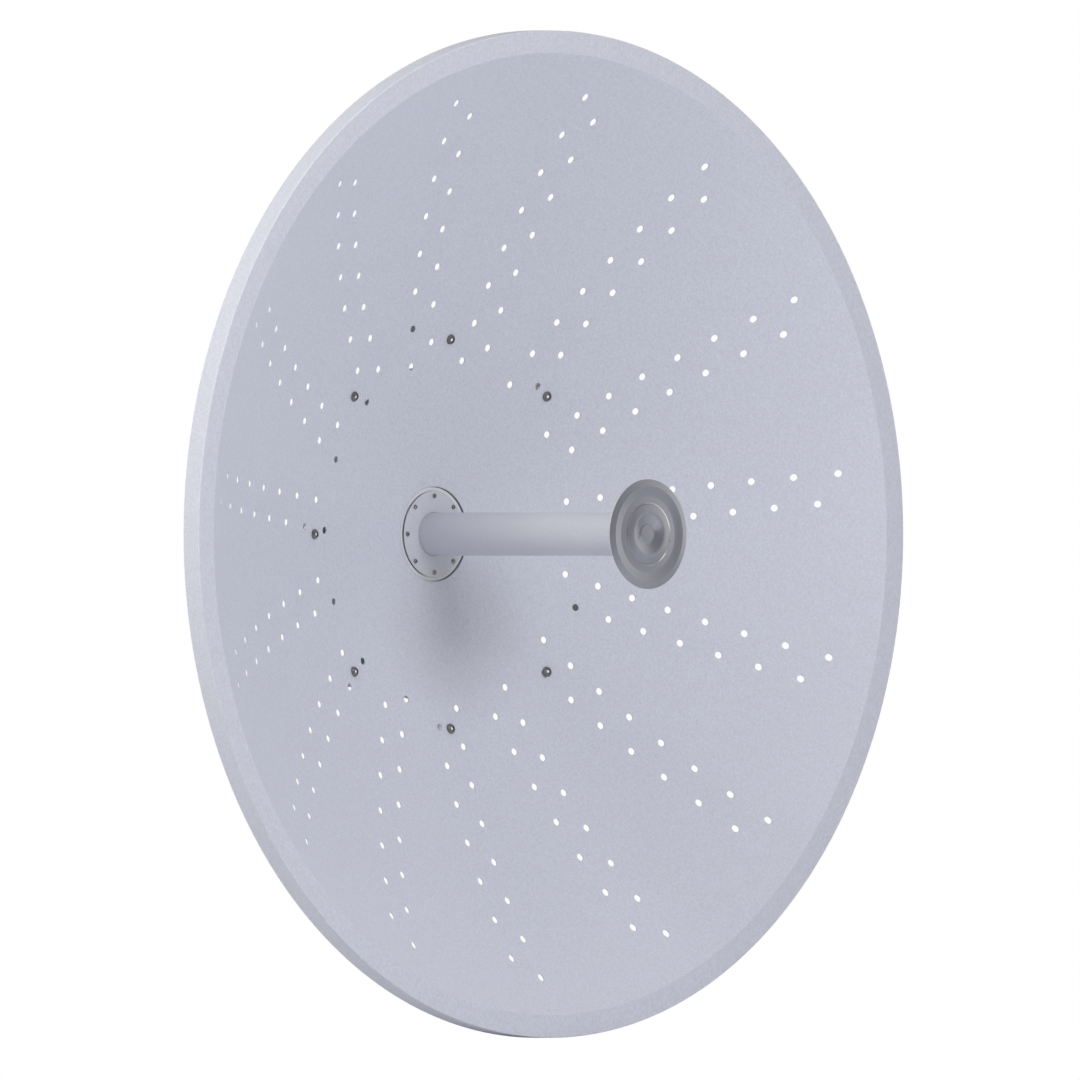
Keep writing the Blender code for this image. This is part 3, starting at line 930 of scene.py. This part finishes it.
flange = {
    "bore": 0.0228, "radius": 0.0508, "face": 0.0028, "faceRadius": 0.0449, "rimInner": 0.0495,
    "rimTop": 0.0030, "foot": 0.0026, "grooveFloor": 0.0001, "grooveCrown": 0.0011,
    "underside": -0.0009, "screwCount": 8, "screwCircle": 0.040, "screwHole": 0.0020,
    "edge": 0.0003, "rimEdge": 0.0002, "segments": 128}
flangeScrew = {
    "headRadius": 0.0025, "headHeight": 0.00175, "gap": 0.0003, "shank": 0.0015,
    "length": 0.0105, "socket": 0.0020, "socketDepth": 0.0008, "topShare": 0.62, "rim": 0.0005,
    "threadStart": 0.004, "threadDepth": 0.0002, "pitch": 0.0005, "tip": 0.0004, "segments": 24}
tube = {"radius": 0.0225, "wall": 0.002, "edge": 0.0005, "segments": 96}


def circlePlaces(circle):
    return [dishFrame @ Matrix.Rotation(angle, 4, "Z") @ Matrix.Translation((circle, 0, 0))
            for angle in circleAngles(flange["screwCount"])]


def buildFeedFlange():
    # a flat face, a groove round it whose floor is painted pale as a painted highlight between
    # walls painted dark as painted shade, and a thin rim
    size = flange
    middle = (size["faceRadius"] + size["rimInner"]) / 2
    quarter = (size["rimInner"] - size["faceRadius"]) / 4
    floor = size["grooveFloor"]
    ramp = (floor + size["grooveCrown"]) / 2
    bed = reflector["bore"] - hair
    edge = size["edge"]
    rimEdge = size["rimEdge"]
    shape = turnedRing([
        (size["bore"], size["face"], edge), (size["faceRadius"], size["face"], edge),
        (size["faceRadius"] - rimEdge, floor), (middle - quarter, ramp),
        (middle, size["grooveCrown"]), (middle + quarter, ramp),
        (size["rimInner"] - rimEdge, floor), (size["rimInner"], size["rimTop"], rimEdge),
        (size["radius"], size["rimTop"] - rimEdge / 2, rimEdge),
        (size["radius"], size["foot"], rimEdge / 2), (bed, size["foot"]),
        (bed, size["underside"], edge), (size["bore"], size["underside"], edge)],
        size["segments"], steps=4)
    piece = addPiece("feed_flange_disc", shape, [feedPaint, groovePaintedShade, grooveFloorPaintedHighlight],
                     ["feed_flange"])
    drill(piece, circlePlaces(size["screwCircle"]), boreBit(size["screwHole"], -drillReach))

    # the groove's walls get the painted shade, its floor the painted highlight, the rest the feed
    # paint
    def groovePaintedLight(radius, height, facing):
        if not size["faceRadius"] - edge < radius < size["rimInner"] + hair / 2:
            return 0
        if not floor < height < size["face"] - rimEdge:
            return 0
        return 1 if abs(facing) < 0.5 else 2
    finishFaces(piece, dishFrame, groovePaintedLight)


def buildFlangeScrews():
    size = flangeScrew
    low = flange["face"] + size["gap"]
    top = low + size["headHeight"]
    count = size["segments"]
    socket = size["socket"]
    floor = top - size["socketDepth"]
    rings = [
        [(0, 0, floor - hair)], hexRing(socket * 0.9, floor, count),
        hexRing(socket * 0.9, top - hair, count), hexRing(socket, top, count)]
    outer = rounded([
        (size["headRadius"] * size["topShare"], top, 0.0004),
        (size["headRadius"], low + size["rim"], size["rim"]),
        (size["headRadius"], low), (size["shank"], low)], steps=3)
    end = flange["face"] - size["length"]
    thread = threadProfile(size, size["shank"], low - size["threadStart"], end + size["tip"])
    tip = [(size["shank"] * 0.7, end), (0, end)]
    rings += roundRings(outer + thread + tip, count)
    for number, place in enumerate(circlePlaces(flange["screwCircle"]), start=1):
        addPiece(f"flange_screw_piece_{number}", ringShape(rings), [darkSteel],
                 [f"flange_screw_{number}"], place)


def buildTube():
    front, back = nodeDepths("feed_tube")
    inner = tube["radius"] - tube["wall"]
    edge = tube["edge"]
    shape = turnedRing([
        (inner, front, edge), (tube["radius"], front, edge), (tube["radius"], back, edge),
        (inner, back, edge)], tube["segments"])
    addPiece("feed_tube_pipe", shape, [feedPaint], ["feed_tube"])


buildFeedFlange()
buildFlangeScrews()
buildTube()
print("feed flange and tube made")


# sub-reflector, turned from one disc

subReflector = {"segments": 160, "chamfer": (0.0319, 0.0328), "brightEdge": 0.05725, "profile": (
    (0.0, 0.3139), (0.0080, 0.3139), (0.0096, 0.3137, 0.0006), (0.0110, 0.3130, 0.0008),
    (0.0202, 0.3166, 0.0030), (0.0218, 0.3170, 0.0006), (0.0240, 0.3170, 0.0008),
    (0.0311, 0.3156, 0.0010), (0.0313, 0.3147), (0.0318, 0.3146), (0.0328, 0.3155, 0.0001),
    (0.0400, 0.3147, 0.0008), (0.0411, 0.3149, 0.0006),
    (0.0500, 0.3166, 0.0007), (0.0574, 0.3148, 0.0002), (0.0574, 0.3141, 0.0002),
    (0.0500, 0.3098, 0.0010), (0.0, 0.3098))}


def buildSubReflector():
    # the groove's outer chamfer and the outer edge are cut bright
    profile = rounded(subReflector["profile"], steps=4)
    piece = addPiece("sub_reflector_disc", turnedShape(profile, subReflector["segments"]),
                     [turnedMetal, brightSteel], ["sub_reflector"], sharp=24)
    low, high = subReflector["chamfer"]
    finishFaces(piece, dishFrame, lambda radius, height, facing:
                int(low < radius < high or radius > subReflector["brightEdge"]))


buildSubReflector()
print("sub-reflector made")


# hub: collar, feed block, coaxial sockets and mounting flange

collar = {
    "bossRadius": 0.052, "radius": 0.062, "bore": 0.0228, "thickness": 0.007, "edge": 0.0006,
    "holeRoom": 0.0006, "segments": 128}
block = {"edge": 0.006, "edgeSteps": 5, "seam": 0.0006, "seamFloor": 0.4, "seamDepth": 1.4}
coax = {
    "spacing": 0.036, "gap": 0.0003, "baseFlats": 0.0165, "baseHeight": 0.004,
    "faceShare": 0.97, "chamfer": 0.5, "edge": 0.0003,
    "radius": 0.0065, "length": 0.018, "bore": 0.0042, "boreDepth": 0.010, "neck": 0.0006,
    "threadDepth": 0.0005, "pitch": 0.0011, "segments": 48, "lining": (0.0012, 0.0030, 0.005),
    "pin": (0.0011, 0.0008, 0.0078)}
mount = {
    "radius": 0.070, "boltCircle": 0.058, "boltHole": 0.0045, "edge": 0.0008, "segments": 128,
    "ringSides": 96, "boltSides": 32, "rings": (0.012, 0.024, 0.036, 0.047, 0.0675)}


def buildCollar():
    front, back = nodeDepths("hub_collar")
    size = collar
    edge = size["edge"]
    step = back + size["thickness"]
    shape = turnedRing([
        (size["bore"], front, edge), (size["bossRadius"], front, edge),
        (size["bossRadius"], step, edge), (size["radius"], step, edge),
        (size["radius"], back, edge), (size["bore"], back, edge)], size["segments"])
    piece = addPiece("hub_collar_ring", shape, [rearPaint], ["hub_collar"])
    deep = flange["face"] - flangeScrew["length"] - size["holeRoom"]
    drill(piece, circlePlaces(flange["screwCircle"]), boreBit(flange["screwHole"], deep))


def buildBlock():
    # two halves of a cast box, with a seam between them
    low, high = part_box("feed_block")
    work = bmesh.new()
    bmesh.ops.create_cube(work, size=1)
    middle = (low + high) / 2
    for vert in work.verts:
        vert.co = Vector((vert.co.x * (high.x - low.x), vert.co.y * (high.y - low.y),
                          vert.co.z * (high.z - low.z))) + middle
    bmesh.ops.bevel(work, geom=work.edges[:], offset=block["edge"],
                    segments=block["edgeSteps"], profile=0.5, affect="EDGES",
                    clamp_overlap=True)
    seamAt = middle.y
    half = block["seam"]
    lip = half * block["seamFloor"]
    for shift in (-half, -lip, lip, half):
        everything = work.verts[:] + work.edges[:] + work.faces[:]
        bmesh.ops.bisect_plane(
            work, geom=everything, plane_co=(0, seamAt + shift, 0), plane_no=(0, 1, 0))
    for vert in work.verts:
        if abs(vert.co.y - seamAt) < (half + lip) / 2:
            inward = Vector((middle.x - vert.co.x, 0, middle.z - vert.co.z)).normalized()
            vert.co += inward * half * block["seamDepth"]
    order = sorted(work.verts, key=lambda vert: [round(value, 6) for value in vert.co])
    number = {vert: index for index, vert in enumerate(order)}
    verts = [tuple(vert.co) for vert in order]
    faces = sorted(tuple(number[vert] for vert in face.verts) for face in work.faces)
    work.free()
    addPiece("feed_block_case", (verts, faces), [rearPaint], ["feed_block"],
             Matrix.Identity(4))


def buildSockets():
    size = coax
    count = size["segments"]
    low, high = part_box("feed_block")
    middle = (low.y + high.y) / 2
    end = size["length"]
    floor = end - size["boreDepth"]
    face = size["baseFlats"] / 2 * size["faceShare"]
    base = size["baseHeight"]
    neck = size["radius"] - size["neck"]
    thread = threadProfile(size, size["radius"], end - size["neck"], base + 2 * size["neck"])
    rings = roundRings([
        (0, floor), (size["bore"], floor), (size["bore"], end - size["edge"]),
        (size["bore"] + size["edge"], end), (neck, end), *thread, (neck, base + size["neck"]),
        (neck, base), (face, base)], count)
    rings += [hexRing(size["baseFlats"], base, count, face, size["chamfer"]),
              hexRing(size["baseFlats"], 0.0, count), [(0, 0, 0.0)]]
    foot = floor + hair
    inner, outer, height = size["lining"]
    lining = turnedRing([(inner, foot, hair), (inner, floor + height, 2 * hair),
                         (outer, floor + height, 3 * hair), (outer, foot, hair)], 32)
    wide, narrow, height = size["pin"]
    pin = rounded([(0, floor + height), (narrow, floor + height - 2 * hair, 4 * hair),
                   (wide, foot), (0, foot)])
    shapes = {
        "socket": (ringShape(rings), turnedMetal),
        "lining": (lining, whiteLining),
        "pin": (turnedShape(pin, 20), pinBrass)}
    for number, side in enumerate((-1, 1), start=1):
        place = Matrix.Translation((side * size["spacing"] / 2, middle, low.z - size["gap"]))
        place = place @ Matrix.Rotation(math.radians(180), 4, "X")
        for name, (shape, material) in shapes.items():
            nodes = [f"coax_port_{number}"] if name == "socket" else ()
            addPiece(f"coax_{name}_{number}", shape, [material], nodes, place)


def buildMount():
    front, back = nodeDepths("mounting_flange")
    size = mount
    edge = size["edge"]
    outline = circleLoop(0, 0, size["radius"] - edge, size["segments"])
    holes, fill = [], []
    for radius in size["rings"]:
        fill += circleLoop(0, 0, radius, size["ringSides"])
    for spot in circleLoop(0, 0, size["boltCircle"], 4):
        holes.append(circleLoop(*spot, size["boltHole"] + edge, size["boltSides"]))
        fill += circleLoop(*spot, size["boltHole"] + edge * 3, size["boltSides"])
    shape = sheetShape(outline, holes, fill, lambda x, y: front, lambda x, y: back, edge)
    addPiece("mounting_flange_plate", shape, [rearPaint], ["mounting_flange"])


buildCollar()
buildBlock()
buildSockets()
buildMount()
print("hub made")


# floor, light and camera

floorLook = {
    "height": -0.5275, "inner": 0.5, "radius": 4.0, "segments": 64,
    "colour": (0.86, 0.86, 0.87), "glow": 0.55, "glowFrom": 0.7, "glowTo": 3.2}
# each side's direction and the colour of its light
sky = {
    "right": ((1, 0, 0), (1.060, 1.055, 0.980)), "left": ((-1, 0, 0), (0.420, 0.400, 0.340)),
    "up": ((0, 0, 1), (0.080, 0.085, 0.150)), "down": ((0, 0, -1), (0.35, 0.35, 0.35)),
    "front": ((0, -1, 0), (0.20, 0.20, 0.20)), "behind": ((0, 1, 0), (0.35, 0.35, 0.35))}
# the direction, width, power and colour of each lamp
lamps = {
    "sideLamp": ((-1.5, 0.8, 0.5), 1.5, 9.9, (1.0, 0.96, 0.88)),
    "topLamp": ((-1.5, 1.8, 0.4), 1.2, 22.0, (0.98, 1.0, 0.90)),
    "rimLamp": ((-2.0, 0.6, -0.3), 1.5, 15.0, (0.95, 0.98, 1.0)),
    "highLamp": ((-0.2, 1.6, 1.0), 1.4, 6.6, (1.0, 0.95, 0.82)),
    "bowlLamp": ((-0.08, 0.255, 1.0), 0.9, 22.3, (0.94, 0.965, 1.0))}
lampDistance = 2.6
lampAim = (0, -0.1, 0)
camera = {"turn": 45.6, "distance": 3.0, "width": 1.12558, "right": 0.11230, "up": -0.00613}


def buildFloor():
    # the far floor glows a little for the camera alone, so it stays pale as far as it goes
    height = floorLook["height"]
    radii = (0, floorLook["inner"], floorLook["radius"])
    verts, faces = turnedShape([(radius, height) for radius in radii], floorLook["segments"])
    mesh = bpy.data.meshes.new("floor")
    mesh.from_pydata(verts, [], faces)
    material = bpy.data.materials.new("paleFloor")
    material.use_nodes = True
    shader = material.node_tree.nodes["Principled BSDF"]
    shader.inputs["Base Color"].default_value = (*floorLook["colour"], 1)
    shader.inputs["Roughness"].default_value = 0.9
    tree = material.node_tree
    away = addVector(tree, "LENGTH", objectSpot(tree))
    glow = addNode(tree, "ShaderNodeMapRange", {
        "Value": away, "From Min": floorLook["glowFrom"], "From Max": floorLook["glowTo"],
        "To Max": floorLook["glow"]}).outputs[0]
    seen = addNode(tree, "ShaderNodeLightPath").outputs["Is Camera Ray"]
    tree.links.new(addMath(tree, "MULTIPLY", glow, seen), shader.inputs["Emission Color"])
    shader.inputs["Emission Strength"].default_value = 1.0
    mesh.materials.append(material)
    floor = addObject("floor", mesh)


def buildSky():
    # soft light with its own colour from each of six sides; the camera sees plain white
    world = bpy.data.worlds.new("studioSky")
    bpy.context.scene.world = world
    world.use_nodes = True
    tree = world.node_tree
    tree.nodes.clear()
    where = addNode(tree, "ShaderNodeTexCoord").outputs["Generated"]
    total = None
    for axis, colour in sky.values():
        ahead = addMath(tree, "MAXIMUM", addVector(tree, "DOT_PRODUCT", where, axis), 0.0)
        lobe = addMath(tree, "MULTIPLY", ahead, ahead)
        part = addVector(tree, "SCALE", colour, scale=lobe)
        total = addVector(tree, "ADD", total, part) if total else part
    soft = addNode(tree, "ShaderNodeBackground", {"Color": total})
    plain = addNode(tree, "ShaderNodeBackground", {"Color": (1, 1, 1, 1)})
    seen = addNode(tree, "ShaderNodeLightPath").outputs["Is Camera Ray"]
    mixed = addNode(tree, "ShaderNodeMixShader", {0: seen, 1: soft.outputs[0], 2: plain.outputs[0]})
    addNode(tree, "ShaderNodeOutputWorld", {"Surface": mixed.outputs[0]})


def buildLamps():
    # soft round lamps, each turned towards the dish
    for name, (direction, width, power, colour) in lamps.items():
        light = bpy.data.lights.new(name, "AREA")
        light.shape = "DISK"
        light.size = width
        light.energy = power
        light.color = colour
        lamp = addObject(name, light)
        towards = (dishFrame.to_3x3() @ Vector(direction)).normalized()
        lamp.location = Vector(lampAim) + towards * lampDistance
        lamp.rotation_euler = towards.to_track_quat("Z", "Y").to_euler()
        lamp.visible_camera = False
        lamp.visible_glossy = name != "bowlLamp"


def buildCamera():
    turn = math.radians(camera["turn"])
    towards = Vector((-math.sin(turn), -math.cos(turn), 0))
    right = Vector((math.cos(turn), -math.sin(turn), 0))
    lens = bpy.data.cameras.new("camera")
    lens.type = "ORTHO"
    lens.ortho_scale = camera["width"]
    lens.clip_end = 20
    view = addObject("camera", lens)
    middle = Vector((0, -bowlDistance, camera["up"])) + right * camera["right"]
    view.location = middle + towards * camera["distance"]
    view.rotation_euler = (math.radians(90), 0, -turn)
    bpy.context.scene.camera = view


buildFloor()
buildSky()
buildLamps()
buildCamera()
bpy.context.scene.view_settings.view_transform = "Standard"
print("floor, light and camera set")
